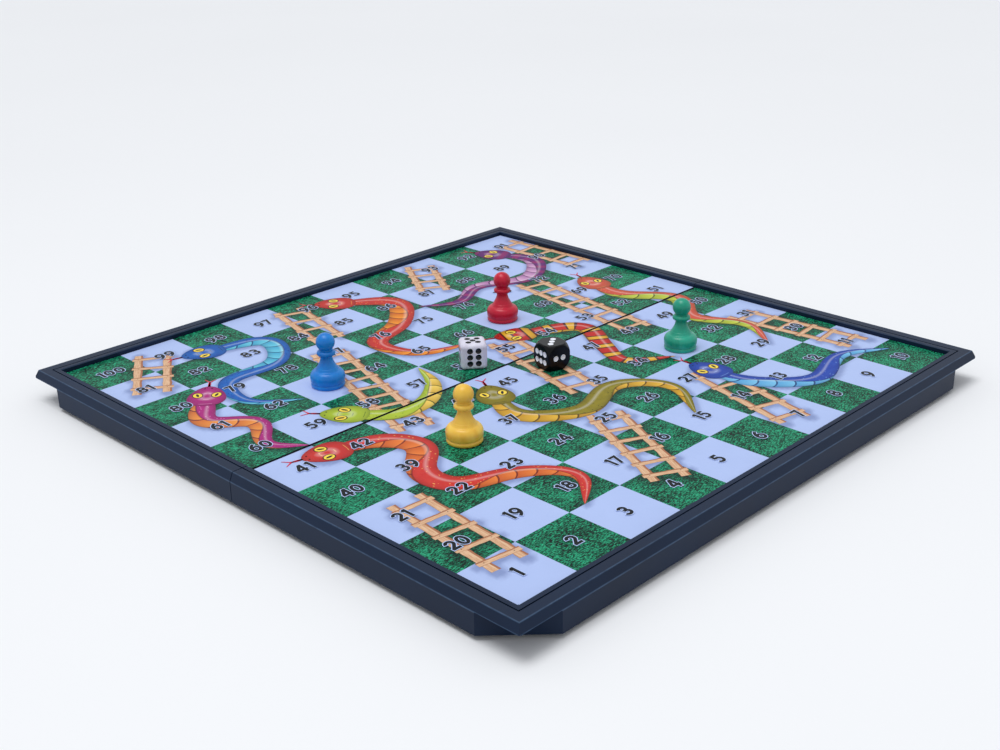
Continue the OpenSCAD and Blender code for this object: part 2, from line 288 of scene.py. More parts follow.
skinLook = {
    "fleckRates": (620.0, 3.6), "fleckSize": 0.2, "fleckSpread": 0.9, "fleckShare": 0.85,
    "toneScale": 0.5,
    "bellyFrom": 0.28, "border": 0.07, "borderShare": 0.6,
    "plateRate": 150.0, "plateBow": 0.28, "seam": 0.1, "seamShare": 0.8,
    "edgePower": 3.0, "edgeShare": 0.5,
    "streakAt": 0.3, "streakNarrow": 4.5, "streakShare": 0.22, "streak": (255, 255, 255),
}


def makeSnakeSkin(name, look):
    # skin runs across the body and turns with it, so that the belly shows on one side or the other
    form = skinLook
    material, shader, tree = filmShader(name)
    along, across, skin = (attribute(tree, key) for key in ("along", "across", "skin"))
    flow = ribbonFlow(tree, form["fleckRates"])
    cells = addNode(tree, "TexVoronoi", {"Vector": flow, "Scale": 1.0, "Randomness": form["fleckSpread"]})
    fleck = calc("LESS_THAN", cells.outputs["Distance"], form["fleckSize"])
    back = blendColour(noise(flow, form["toneScale"], 3.0), look["back"], look["backLight"])
    back = overlay(fleck, form["fleckShare"], back, look["fleck"])
    if "bands" in look:
        phase = calc("FRACT", times(along, look["bandRate"]))
        bands = ramp(phase, look["bands"], "CONSTANT")
        back = blendColour(look["bandShare"], back, bands)
    # belly plates: each has a dark line where the next one starts, bowed across the body
    bow = times(times(across, across), form["plateBow"])
    plate = calc("FRACT", plus(times(along, form["plateRate"]), bow))
    seam = calc("LESS_THAN", plate, form["seam"])
    belly = blendColour(plate, look["bellyDark"], look["belly"])
    belly = overlay(seam, form["seamShare"], belly, look["line"])
    # the belly starts on one side of the skin's middle, with a dark border along it
    fromBelly = plus(skin, form["bellyFrom"])
    body = blendColour(calc("LESS_THAN", fromBelly, 0.0), back, belly)
    border = calc("LESS_THAN", calc("ABSOLUTE", fromBelly), form["border"])
    body = overlay(border, form["borderShare"], body, look["line"])
    # drawn roundness: dark edges, a soft light streak
    edge = calc("POWER", calc("ABSOLUTE", across), form["edgePower"])
    body = overlay(edge, form["edgeShare"], body, look["line"])
    fromStreak = calc("ABSOLUTE", calc("SUBTRACT", across, form["streakAt"]))
    fade = times(fromStreak, form["streakNarrow"])
    streak = calc("SUBTRACT", 1.0, fade, clamp=True)
    body = overlay(streak, form["streakShare"], body, form["streak"])
    feed(shader, "Base Color", body)
    return material


# Moulded and metal finishes

caseOut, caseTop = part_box("rear_case")[1][0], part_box("rear_case")[1][2]
rim = {"lean": 1.3 * mm, "edge": 3 * mm, "flat": 6 * mm}
caseLook = {
    "deep": (7, 22, 44), "light": (17, 39, 68), "clouds": 35.0,
    # painted highlight along the rim's edges: its colour, strength and width, and the noise that breaks it
    # up
    "paintedHighlight": (66, 90, 120), "paintedHighlightShare": 0.75, "paintedHighlightWidth": 0.42 * mm, "highlightNoise": 260.0, "highlightNoiseRough": 0.6,
    "edges": [(caseOut - rim["lean"], caseTop), (caseOut, caseTop - rim["edge"]),
              (caseOut - rim["lean"] - rim["flat"], caseTop)],
    "specular": 0.18, "roughness": 0.48, "roughnessSpread": 0.16,
    "grain": 2600.0, "grainStrength": 0.1, "grainDepth": 0.05 * mm,
}


def makeCasePlastic():
    # fine moulded grain with slow clouds, and a painted highlight: paler along the edges of the rim, where
    # light would catch them.
    # Out is the greater of a point's distances from both middle planes, and an edge is a place in out and
    # height
    material, shader, tree = newMaterial("casePlastic", Roughness=caseLook["roughness"],
                                         Specular_IOR_Level=caseLook["specular"])
    spot = addNode(tree, "SeparateXYZ", {0: addNode(tree, "TexCoord").outputs["Object"]}).outputs
    out = extreme("MAXIMUM", [calc("ABSOLUTE", spot[axis]) for axis in "XY"])
    shares = []
    for edge in caseLook["edges"]:
        apart = [calc("ABSOLUTE", calc("SUBTRACT", value, limit))
                 for value, limit in zip((out, spot["Z"]), edge)]
        shares.append(calc("DIVIDE", plus(*apart), caseLook["paintedHighlightWidth"]))
    near = calc("SUBTRACT", 1.0, extreme("MINIMUM", shares), clamp=True)
    # painted highlight: a paler colour near the rim's edges, broken up by noise, in place of light caught on
    # those edges
    highlightNoise = surfaceNoise(tree, caseLook["highlightNoise"], 3.0, caseLook["highlightNoiseRough"])
    paintedHighlight = calc("MULTIPLY", near, times(highlightNoise, 2 * caseLook["paintedHighlightShare"]), clamp=True)
    clouds = surfaceNoise(tree, caseLook["clouds"], 3.0)
    tone = blendColour(clouds, caseLook["deep"], caseLook["light"])
    feed(shader, "Base Color", blendColour(paintedHighlight, tone, caseLook["paintedHighlight"]))
    varyRoughness(shader, clouds, caseLook["roughness"], caseLook["roughnessSpread"])
    grain = surfaceNoise(tree, caseLook["grain"])
    addBump(shader, grain, caseLook["grainStrength"], caseLook["grainDepth"])
    return material


plasticLook = {
    "specular": 0.4, "roughness": 0.3, "roughnessSpread": 0.12,
    "inside": 0.12, "insideReach": 0.6 * mm,
    "flow": 160.0, "flowStretch": (1, 1, 0.35), "flowRough": 0.55, "flowBend": 0.8, "flowStops": (0.3, 0.7),
    "skin": 1500.0, "skinStrength": 0.06, "skinDepth": 0.05 * mm,
}


def makeGlossPlastic(name, tones, roughness=plasticLook["roughness"], specular=plasticLook["specular"]):
    # moulded plastic with a little light inside it: faint flow marks and fine moulding texture
    look = plasticLook
    material, shader, tree = newMaterial(name, Roughness=roughness, Specular_IOR_Level=specular,
                                         Subsurface_Weight=look["inside"], Subsurface_Scale=1.0,
                                         Subsurface_Radius=(look["insideReach"],) * 3)
    stretched = coordinates(tree, look["flowStretch"])
    flow = noise(stretched, look["flow"], 3.0, look["flowRough"], look["flowBend"])
    feed(shader, "Base Color", ramp(flow, list(zip(look["flowStops"], tones))))
    varyRoughness(shader, flow, roughness, look["roughnessSpread"])
    addBump(shader, surfaceNoise(tree, look["skin"]), look["skinStrength"], look["skinDepth"])
    return material


metalLook = {"brush": 900.0, "darker": 0.75, "roughnessSpread": 0.2}


def makeMetal(name, colour, roughness, stretch):
    # fine noise stretched into brush marks
    material, shader, tree = newMaterial(name, Metallic=1.0, Roughness=roughness)
    brushed = noise(coordinates(tree, stretch), metalLook["brush"], 3.0)
    darker = (*(channel * metalLook["darker"] for channel in colour), 1.0)
    feed(shader, "Base Color", blendColour(brushed, darker, (*colour, 1.0)))
    varyRoughness(shader, brushed, roughness, metalLook["roughnessSpread"])
    return material


rubberLook = {"deep": (16, 16, 18), "light": (40, 40, 43), "roughness": 0.8, "grain": 1800.0,
              "strength": 0.3, "depth": 0.1 * mm}


def makeRubber():
    material, shader, tree = newMaterial("footRubber", Roughness=rubberLook["roughness"])
    grain = surfaceNoise(tree, rubberLook["grain"], 3.0)
    feed(shader, "Base Color", blendColour(grain, rubberLook["deep"], rubberLook["light"]))
    addBump(shader, grain, rubberLook["strength"], rubberLook["depth"])
    return material


def makeDieSkin(name, form):
    # pip is 1 at the rim of a pip and 0 at its middle
    material = makeGlossPlastic(name, form["tones"], dieShape["roughness"], form["shine"])
    shader = material.node_tree.nodes["Principled BSDF"]
    body = shader.inputs["Base Color"].links[0].from_socket
    inside = calc("LESS_THAN", attribute(material.node_tree, "pip"), 1.0)
    feed(shader, "Base Color", blendColour(inside, body, form["ink"]))
    return material


# Mesh helpers

def gridFaces(rows, columns, wrapColumns=False):
    # the four corners of each cell of a grid of points, row by row
    first = np.arange(rows - 1)
    second = np.arange(columns if wrapColumns else columns - 1)
    row, column = np.meshgrid(first, second, indexing="ij")
    here, below = row * columns, (row + 1) * columns
    after = (column + 1) % columns
    return np.stack([here + column, below + column, below + after, here + after], -1).reshape(-1, 4)


def makeObject(name, points, blocks, values=None, smooth=False):
    # blocks: arrays of faces; values: one number a vertex, under the name that the materials read
    mesh = bpy.data.meshes.new(name)
    mesh.from_pydata(points.tolist(), [], [face for block in blocks for face in block.tolist()])
    for key, numbers in (values or {}).items():
        data = mesh.attributes.new(key, "FLOAT", "POINT").data
        data.foreach_set("value", np.asarray(numbers, np.float32).ravel())
    if smooth:
        mesh.polygons.foreach_set("use_smooth", np.ones(len(mesh.polygons), bool))
    mesh.update()
    made = bpy.data.objects.new(name, mesh)
    bpy.context.scene.collection.objects.link(made)
    return made


def setMaterials(piece, *materials):
    piece.data.materials.clear()
    for material in materials:
        piece.data.materials.append(material)


def recalculate(piece):
    work = bmesh.new()
    work.from_mesh(piece.data)
    bmesh.ops.remove_doubles(work, verts=work.verts[:], dist=1e-7)
    bmesh.ops.recalc_face_normals(work, faces=work.faces[:])
    work.to_mesh(piece.data)
    work.free()


def ease(share):
    # rises smoothly from 0 to 1: 3 x^2 - 2 x^3
    x = np.clip(share, 0, 1)
    return x * x * (3 - 2 * x)


def leftOf(direction):
    return np.array([-direction[1], direction[0]])


def pathReach(path):
    # how far along the path each of its points is
    return np.concatenate([[0], np.cumsum(np.linalg.norm(np.diff(path, axis=0), axis=1))])


def smoothPath(points, count, fine=40):
    # a curve through the points, each stretch a cubic that leaves and arrives along its neighbours' chord,
    # then cut into equal steps
    points = np.asarray(points, float)
    ends = np.vstack([2 * points[0] - points[1], points, 2 * points[-1] - points[-2]])
    t = np.linspace(0, 1, fine, endpoint=False)[None, :, None]
    a, b, c, d = (ends[i:len(ends) - 3 + i][:, None, :] for i in range(4))
    curve = 0.5 * (2 * b + (c - a) * t + (2 * a - 5 * b + 4 * c - d) * t ** 2
                   + (3 * b - a - 3 * c + d) * t ** 3)
    curve = np.vstack([curve.reshape(-1, points.shape[1]), points[-1]])
    reach = pathReach(curve)
    steps = np.linspace(0, reach[-1], count)
    return np.stack([np.interp(steps, reach, curve[:, k]) for k in range(points.shape[1])], 1), steps


def relaxPath(path, width):
    # each point becomes the mean of the points around it; past its ends the path goes on turned about the
    # end point, which keeps both ends in place
    pad = width // 2
    longer = np.vstack([2 * path[0] - path[pad:0:-1], path, 2 * path[-1] - path[-2:-pad - 2:-1]])
    total = np.cumsum(np.vstack([np.zeros((1, 2)), longer]), axis=0)
    return (total[width:] - total[:-width]) / width


def sideways(path):
    # unit vectors to the left of a flat path
    ahead = np.gradient(path, axis=0)
    ahead /= np.linalg.norm(ahead, axis=1, keepdims=True)
    return np.stack([-ahead[:, 1], ahead[:, 0]], 1)


def flatRibbon(path, reach, halfWidth, height, across):
    # path point plus the sideways vector times the half width times v, v running from -1 to 1
    v = np.linspace(-1, 1, across)
    half = np.broadcast_to(halfWidth, (len(path),))
    flat = path[:, None, :] + sideways(path)[:, None, :] * half[:, None, None] * v[None, :, None]
    points = np.concatenate([flat, np.full(flat.shape[:2] + (1,), height)], -1).reshape(-1, 3)
    values = {"along": np.repeat(reach, across), "across": np.tile(v, len(path))}
    return points, [gridFaces(len(path), across)], values


def disc(centre, radii, turn, height, rings=3, spokes=16, egg=0.0):
    # an ellipse about its centre: radius share r from 0 to 1 and angle a, narrower ahead by the egg share
    # times cos a; the middle is one point
    r = np.linspace(0, 1, rings + 1)[1:, None]
    a = np.linspace(0, 2 * math.pi, spokes, endpoint=False)[None, :]
    x, y = radii[0] * r * np.cos(a), radii[1] * r * np.sin(a) * (1 - egg * np.cos(a))
    c, s = math.cos(turn), math.sin(turn)
    flat = np.stack([centre[0] + x * c - y * s, centre[1] + x * s + y * c, np.full(x.shape, height)], -1)
    points = np.vstack([[centre[0], centre[1], height], flat.reshape(-1, 3)])
    spoke = np.arange(spokes)
    fan = np.stack([np.zeros(spokes, int), 1 + spoke, 1 + (spoke + 1) % spokes], 1)
    return points, [fan, gridFaces(rings, spokes, True) + 1]


def arcPoints(centre, radius, start, end, count):
    # part of a circle or ellipse, between two angles in degrees
    a = np.radians(np.linspace(start, end, count))
    radii = np.broadcast_to(radius, 2)
    return np.stack([centre[0] + radii[0] * np.cos(a), centre[1] + radii[1] * np.sin(a)], 1)


def bendPoints(start, leave, arrive, end, count):
    # a cubic curve from start towards leave, reaching end from arrive
    t = np.linspace(0, 1, count)[:, None]
    start, leave, arrive, end = (np.array(p) for p in (start, leave, arrive, end))
    return (1 - t) ** 3 * start + 3 * (1 - t) ** 2 * t * leave + 3 * (1 - t) * t ** 2 * arrive + t ** 3 * end


# The print: it ends a little before the edges of the sheet, whose dark core shows there
printForm = {
    "fold": board["foldY"] + 0.16 * mm,
    "edgeX": board["edgeX"] - 0.1 * mm,
    "edgeY": board["edgeY"] - 0.1 * mm,
    "sliver": 0.2 * mm,  # a shape that reaches no further past the fold has no piece on that half
    "thickness": 0.015 * mm,
    "step": 0.02 * mm,  # from one ink up to the next, bottom one first
    "inks": ["ground", "rail", "rung", "nail", "snake", "head", "tongue", "eye", "pupil", "halo", "number"],
    "groundCells": 16,  # along a square's side
}


def inkHeight(ink):
    return board["top"] + printForm["step"] * (1 + printForm["inks"].index(ink))


def cutToHalf(piece, side):
    # keeps what lies on this half's side of the fold and inside the sheet's edges
    foldY, edgeX, edgeY = (printForm[key] for key in ("fold", "edgeX", "edgeY"))
    planes = [((0, side * foldY, 0), (0, -side, 0)), ((edgeX, 0, 0), (1, 0, 0)),
              ((-edgeX, 0, 0), (-1, 0, 0)), ((0, side * edgeY, 0), (0, side, 0))]
    cut = bmesh.new()
    cut.from_mesh(piece.data)
    for point, normal in planes:
        everything = cut.verts[:] + cut.edges[:] + cut.faces[:]
        bmesh.ops.bisect_plane(cut, geom=everything, dist=1e-8, plane_co=point, plane_no=normal,
                               clear_outer=True)
    cut.to_mesh(piece.data)
    cut.free()


def finishPrint(piece, half, *materials):
    setMaterials(piece, *materials)
    film = piece.modifiers.new("film", "SOLIDIFY")
    film.thickness = printForm["thickness"]
    film.offset = -1
    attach(piece, halves[half]["body"])


class PrintLayer:
    # gathers flat shapes that share an ink, and cuts them at the fold into one piece for each half

    def __init__(self, name, material):
        self.name, self.material = name, material
        self.points, self.blocks, self.values, self.count = [], [], {}, 0

    def add(self, points, blocks, values=None):
        self.blocks += [block + self.count for block in blocks]
        self.points.append(points)
        for key, numbers in (values or {}).items():
            self.values.setdefault(key, []).append(np.asarray(numbers, float))
        self.count += len(points)

    def finish(self):
        points = np.vstack(self.points)
        values = {key: np.concatenate(numbers) for key, numbers in self.values.items()}
        for half, facts in halves.items():
            if (points[:, 1] * facts["side"]).max() < printForm["fold"] + printForm["sliver"]:
                continue
            piece = makeObject(half + "_" + self.name, points, self.blocks, values)
            cutToHalf(piece, facts["side"])
            finishPrint(piece, half, self.material)


print("helpers ready")

# Drawn shadows: middles and half widths of all that the print shades, and where the shadows fall
shadow = {"offset": np.array([-0.015, -0.045]) * square, "soft": 0.1 * square, "chunk": 2000}
covers = []


def cover(path, half):
    covers.append(np.column_stack([path, np.broadcast_to(half, (len(path),))]))


def shadeAt(flat):
    # 1 under the shifted outline of a snake or plank, falling to 0 over the soft distance
    shapes = np.vstack(covers)
    centres = shapes[:, :2] + shadow["offset"]
    nearest = np.full(len(flat), 1.0)
    for start in range(0, len(flat), shadow["chunk"]):
        end = start + shadow["chunk"]
        part = flat[start:end, None, :] - centres[None, :, :]
        nearest[start:end] = (np.sqrt((part ** 2).sum(-1)) - shapes[:, 2]).min(1)
    return ease(1 - nearest / shadow["soft"])


# Ladders: their two ends, as column and row of the squares, counted from the front left
ladders = {
    "ends": [((3.1, 0.1), (4.1, 2.1)), ((9.1, 0.8), (8.9, 3.1)), ((1.9, 3.8), (2.9, 7.1)),
             ((7.2, 3.9), (7.7, 7.0)), ((0.0, 7.8), (0.9, 9.2)), ((6.2, 8.0), (7.0, 9.3)),
             ((9.3, 7.0), (9.2, 9.1)), ((0.1, 0.2), (0.3, 2.3)), ((4.6, 2.9), (5.2, 5.3)),
             ((3.3, 7.5), (3.7, 9.2)), ((5.8, -0.1), (6.4, 2.0))],
    "railApart": 0.46 * square,
    "railWidth": 0.14 * square,
    "rungPitch": 0.4 * square,
    "rungWidth": 0.1 * square,
    "rungLength": 0.66 * square,
    "rungEnd": 0.2 * square,
    "nail": 0.008 * square,
    "uneven": 0.04,  # how far a rail may slip, in squares
    "tilt": 0.09,
    "waves": [(0.07, 900.0, 1), (0.04, 2300.0, 2)],  # share of a plank's width, rate, step a plank
    "grainStep": 3.7,
    "steps": 24,
    "across": 7,
    "seed": 5,
}


def makeLadders():
    planks = {ink: PrintLayer("ladder_" + ink + "s", plankInk) for ink in ("rail", "rung")}
    nails = PrintLayer("ladder_nails", inks["line"])
    random = np.random.default_rng(ladders["seed"])
    number = 0

    def plank(ink, start, end, width):
        # a straight ribbon whose width is 1 plus two sine waves of the distance along it
        nonlocal number
        number += 1
        path, reach = smoothPath([start, (start + end) / 2, end], ladders["steps"])
        waves = (share * np.sin(reach * rate + number * step) for share, rate, step in ladders["waves"])
        half = width / 2 * (1 + sum(waves))
        points, faces, values = flatRibbon(path, reach, half, inkHeight(ink), ladders["across"])
        values["plank"] = np.full(len(points), number * ladders["grainStep"])
        planks[ink].add(points, faces, values)
        cover(path, width / 2)

    for start, end in ladders["ends"]:
        start, end = place(*start), place(*end)
        length = np.linalg.norm(end - start)
        ahead = (end - start) / length
        left = leftOf(ahead)
        for side in (-1, 1):
            shift = left * side * ladders["railApart"] / 2
            uneven = ahead * random.uniform(-ladders["uneven"], ladders["uneven"]) * square
            plank("rail", start + shift + uneven, end + shift + uneven, ladders["railWidth"])
        count = int(round((length - 2 * ladders["rungEnd"]) / ladders["rungPitch"]))
        for at in np.linspace(ladders["rungEnd"], length - ladders["rungEnd"], count + 1):
            middle = start + ahead * at
            along = left + ahead * random.uniform(-ladders["tilt"], ladders["tilt"])
            reach = along * ladders["rungLength"] / 2
            plank("rung", middle - reach, middle + reach, ladders["rungWidth"])
            for side in (-1, 1):
                centre = middle + along * side * ladders["railApart"] / 2
                nails.add(*disc(centre, (ladders["nail"],) * 2, 0, inkHeight("nail"), 1, 8))
    for layer in (*planks.values(), nails):
        layer.finish()


# Snakes: the middle of the body from head to tail, in the same columns and rows; twist is the turns of the
# skin and where they start
snakes = {
    "amber": {
        "path": [(4.5, 8.85), (5.3, 8.1), (4.6, 7.2), (3.7, 6.8), (3.9, 5.9), (4.8, 5.6)], "width": 0.45,
        "twist": (0.9, 0.0), "back": (176, 26, 34), "backLight": (214, 62, 44), "fleck": (240, 150, 60),
        "belly": (242, 150, 40), "bellyDark": (200, 96, 24), "line": (84, 26, 18)},
    "violet": {
        "path": [(8.5, 8.75), (8.8, 7.9), (7.9, 7.2), (6.9, 7.6), (6.1, 7.2), (5.4, 7.6)], "width": 0.39,
        "twist": (0.5, 1.5), "back": (88, 20, 104), "backLight": (132, 30, 126), "fleck": (160, 60, 160),
        "belly": (214, 170, 206), "bellyDark": (170, 110, 170), "line": (44, 10, 54),
        "bands": [(0.0, (84, 18, 104)), (0.55, (150, 26, 96))], "bandRate": 150.0, "bandShare": 0.6},
    "azure": {
        "path": [(1.5, 8.62), (2.55, 8.3), (2.1, 7.4), (1.05, 7.3), (0.8, 6.4), (1.45, 5.85)],
        "width": 0.39, "twist": (0.6, 2.2), "back": (14, 62, 160), "backLight": (26, 118, 200),
        "fleck": (10, 34, 96), "belly": (104, 200, 224), "bellyDark": (60, 160, 200),
        "line": (10, 36, 92)},
    "lime": {
        "path": [(8.5, 6.1), (8.35, 5.3), (8.9, 4.4), (8.25, 3.6), (8.6, 2.7), (8.1, 1.9)],
        "width": 0.41, "twist": (1.0, 0.6), "back": (196, 70, 54), "backLight": (214, 92, 66),
        "fleck": (240, 160, 90), "belly": (196, 206, 70), "bellyDark": (160, 176, 44),
        "line": (60, 62, 20)},
    "olive": {
        "path": [(3.5, 3.8), (3.2, 3.0), (4.0, 2.4), (5.0, 2.7), (5.6, 2.0), (5.0, 1.1)], "width": 0.41,
        "twist": (0.8, 2.6), "back": (112, 104, 22), "backLight": (156, 142, 34), "fleck": (62, 60, 16),
        "belly": (226, 180, 62), "bellyDark": (190, 140, 34), "line": (52, 42, 12)},
    "coral": {
        "path": [(0.5, 4.13), (1.25, 3.9), (1.55, 3.3), (1.0, 2.75), (1.05, 2.1), (1.9, 1.75),
                 (2.4, 1.1), (1.8, 0.5)],
        "width": 0.46, "twist": (0.9, 1.2), "back": (190, 40, 44), "backLight": (214, 66, 54),
        "fleck": (244, 176, 96), "belly": (232, 128, 58), "bellyDark": (200, 92, 40),
        "line": (92, 18, 22)},
    "sky": {
        "path": [(6.5, 1.95), (6.55, 1.2), (7.3, 0.5), (8.4, 0.75), (9.2, 0.3)], "width": 0.39,
        "twist": (0.9, 2.0), "back": (28, 52, 150), "backLight": (40, 84, 186), "fleck": (120, 160, 230),
        "belly": (120, 192, 232), "bellyDark": (84, 160, 214), "line": (16, 32, 96)},
    "plum": {
        "path": [(0.5, 7.05), (-0.05, 6.3), (0.45, 5.7), (0.1, 5.0), (0.5, 4.5)], "width": 0.4,
        "twist": (0.7, 1.8), "back": (150, 24, 110), "backLight": (186, 44, 134),
        "fleck": (230, 150, 200), "belly": (236, 150, 70), "bellyDark": (206, 108, 50),
        "line": (70, 10, 52)},
    "jade": {
        "path": [(1.5, 4.95), (2.0, 4.4), (2.65, 4.4), (3.2, 4.85), (3.45, 5.45)], "width": 0.38,
        "twist": (0.8, 0.4), "back": (150, 176, 40), "backLight": (188, 206, 62), "fleck": (90, 120, 20),
        "belly": (240, 206, 96), "bellyDark": (206, 164, 58), "line": (60, 76, 14)},
    "ember": {
        "path": [(5.55, 5.3), (6.6, 4.75), (6.2, 3.9), (5.9, 3.2), (6.6, 2.7)], "width": 0.4,
        "twist": (0.2, 0.0), "back": (200, 40, 30), "backLight": (220, 60, 40), "fleck": (60, 12, 10),
        "belly": (230, 190, 60), "bellyDark": (200, 150, 40), "line": (60, 12, 10),
        "bands": [(0.0, (188, 30, 26)), (0.4, (40, 16, 14)), (0.5, (226, 178, 44)), (0.8, (40, 16, 14)),
                  (0.9, (188, 30, 26))],
        "bandRate": 110.0, "bandShare": 0.9},
}
snakeForm = {
    "steps": 220, "relax": 17, "across": 13,
    "neck": 0.6, "neckUntil": 0.2,  # share of the width at the head, and of the length where it is full
    "tailPower": 0.8, "tailEnd": 0.05 * mm,
    "twistSwing": 0.75, "twistLength": 2.2 * square,
    "headLength": 0.38 * square, "headWidth": 0.29 * square, "headEgg": 0.28, "headSkin": 0.9,
    "headRings": 8, "headSpokes": 40, "headShadow": 0.04 * square,
    "eye": (0.085 * square, 0.07 * square), "eyeAt": (0.03 * square, 0.145 * square), "eyeTurn": 0.3,
    "eyeRim": 1.22, "pupil": (0.058 * square, 0.022 * square),
    "nostril": 0.014 * square, "nostrilAt": (0.29 * square, 0.055 * square),
    "tongueFrom": 0.97, "tongueLength": 0.28 * square, "tongueWidth": 0.022 * square, "tongueTaper": 0.75,
    "prongFrom": 0.55, "prongSpread": 0.32, "prongSteps": 20,
}


def makeSnake(name, look, heads):
    # half the width, times a smooth rise behind the head, times a power of 1 - t^3 towards the tail
    form = snakeForm
    path, _ = smoothPath([place(*at) for at in look["path"]], form["steps"])
    path = relaxPath(relaxPath(path, form["relax"]), form["relax"])
    reach = pathReach(path)
    t = reach / reach[-1]
    neck = form["neck"] + (1 - form["neck"]) * ease(t / form["neckUntil"])
    tail = np.maximum(1 - t ** 3, 0) ** form["tailPower"]
    half = look["width"] / 2 * square * neck * tail + form["tailEnd"]
    points, faces, values = flatRibbon(path, reach, half, inkHeight("snake"), form["across"])
    turns, start = look["twist"]
    twist = form["twistSwing"] * np.sin(2 * math.pi * reach / form["twistLength"] * turns + start)
    values["skin"] = values["across"] + np.repeat(twist, form["across"])
    body = PrintLayer("snake_" + name, makeSnakeSkin(name + "Skin", look))
    body.add(points, faces, values)
    cover(path, half)
    # the head, drawn from above: an egg, broad at the cheeks
    ahead = path[0] - path[2]
    turn = math.atan2(ahead[1], ahead[0])
    ahead /= np.linalg.norm(ahead)
    left = leftOf(ahead)
    rings, spokes = form["headRings"], form["headSpokes"]
    points, faces = disc(path[0], (form["headLength"], form["headWidth"]), turn, inkHeight("head"), rings,
                         spokes, form["headEgg"])
    edge = np.concatenate([[0], np.repeat(np.arange(1, rings + 1) / rings, spokes)])
    body.add(points, faces, {"along": (path[0] - points[:, :2]) @ ahead, "across": edge,
                             "skin": np.full(len(points), form["headSkin"])})
    body.finish()
    cover(path[:1] + ahead * form["headShadow"], form["headWidth"])

    def onHead(forward, aside):
        return path[0] + ahead * forward + left * aside

    def spot(layer, centre, radii, spotTurn, ink, *fineness):
        heads[layer].add(*disc(centre, radii, spotTurn, inkHeight(ink), *fineness))

    for side in (-1, 1):
        eye, eyeTurn = onHead(form["eyeAt"][0], side * form["eyeAt"][1]), turn + side * form["eyeTurn"]
        spot("rim", eye, np.array(form["eye"]) * form["eyeRim"], eyeTurn, "tongue")
        spot("eye", eye, form["eye"], eyeTurn, "eye")
        spot("pupil", eye, form["pupil"], eyeTurn, "pupil")
        nostril = onHead(form["nostrilAt"][0], side * form["nostrilAt"][1])
        spot("pupil", nostril, (form["nostril"],) * 2, 0, "pupil", 1, 10)
        # each prong of the tongue leaves the snout in the middle and bends outwards
        snout, long = form["headLength"] * form["tongueFrom"], form["tongueLength"]
        prong = [onHead(snout, 0), onHead(snout + long * form["prongFrom"], 0),
                 onHead(snout + long, side * long * form["prongSpread"])]
        curve, steps = smoothPath(prong, form["prongSteps"])
        width = form["tongueWidth"] * (1 - form["tongueTaper"] * steps / steps[-1])
        points, faces, _ = flatRibbon(curve, steps, width, inkHeight("tongue"), 3)
        heads["tongue"].add(points, faces)


def makeSnakes():
    heads = {"rim": PrintLayer("snake_eye_rims", inks["line"]), "eye": PrintLayer("snake_eyes", inks["eye"]),
             "pupil": PrintLayer("snake_pupils", inks["black"]),
             "tongue": PrintLayer("snake_tongues", inks["tongue"])}
    for name, look in snakes.items():
        makeSnake(name, look, heads)
    for layer in heads.values():
        layer.finish()


def makeGround(half, side):
    # the chequered ground: a fine grid whose lines include every square's edge
    cells = printForm["groundCells"]
    lines = np.arange(1, board["squaresAcross"]) - board["squaresAcross"] / 2
    across = np.concatenate([[-printForm["edgeX"]], lines * square, [printForm["edgeX"]]])
    deep = np.concatenate([[printForm["fold"]], lines[lines > 0] * square, [printForm["edgeY"]]])

    def divide(stops):
        parts = [np.linspace(low, high, cells, endpoint=False) for low, high in zip(stops[:-1], stops[1:])]
        return np.concatenate([*parts, stops[-1:]])

    x, y = np.meshgrid(divide(across), side * divide(deep), indexing="ij")
    points = np.stack([x, y, np.full(x.shape, inkHeight("ground"))], -1).reshape(-1, 3)
    faces = gridFaces(*x.shape)
    if side < 0:
        faces = faces[:, ::-1]
    piece = makeObject(half + "_ground", points, [faces], {"shade": shadeAt(points[:, :2])})
    finishPrint(piece, half, paperInk, grassInk)
    column, row = (np.arange(count - 1) // cells for count in x.shape)
    green = (column[:, None] + row[None, :] + (side > 0)) % 2
    piece.data.polygons.foreach_set("material_index", green.ravel().astype(np.int32))


# Numbers, in millimetres: high and wide are those of the strokes' middle lines
numberLook = {"stroke": 1.12, "halo": 0.27, "gap": 0.5, "lift": 0.0015, "high": 4.4, "wide": 2.6}


def closedStroke(centre, radii):
    return arcPoints(centre, radii, 0, 360, 37)[:-1], True


def openStroke(*parts):
    return np.vstack(parts), False


def digitStrokes():
    # the middle lines of each digit's strokes, and whether each closes on itself
    top, end = numberLook["high"], numberLook["stroke"] / 2
    six = [closedStroke((1.3, 1.4), (1.3, 1.4)),
           openStroke(bendPoints((2.2, 4.75), (0.9, 4.15), (0, 2.9), (0, 1.5), 14))]
    return {
        "0": [closedStroke((1.3, 2.2), (1.3, 2.2))],
        "1": [openStroke((1, -end), (1, top + end)), openStroke((1, 4.4), (-0.1, 3.75))],
        "2": [openStroke(arcPoints((1.3, 3.1), (1.25, 1.3), 172, -38, 22), (0.45, 0.25)),
              openStroke((-0.25, 0), (3, 0))],
        "3": [openStroke(arcPoints((1.15, 3.35), (1.1, 1.05), 158, -90, 22), (0.75, 2.3)),
              openStroke((0.75, 2.4), arcPoints((1.15, 1.2), (1.3, 1.2), 90, -155, 24))],
        "4": [openStroke((2.2, -end), (2.2, top + end)), openStroke((-0.45, 1.15), (3.3, 1.15)),
              openStroke((1.95, 4.55), (0, 1.3))],
        "5": [openStroke((2.65, top), (0.6, top), (0.4, 2.3)),
              openStroke(arcPoints((1.2, 1.4), (1.35, 1.4), 130, -152, 26))],
        "6": six,
        "7": [openStroke((-0.3, top), (2.35, top), (0.75, -end))],
        "8": [closedStroke((1.3, 3.3), (1.05, 1.1)), closedStroke((1.3, 1.2), (1.3, 1.2))],
        "9": [([numberLook["wide"], top] - path, closed) for path, closed in six],
    }


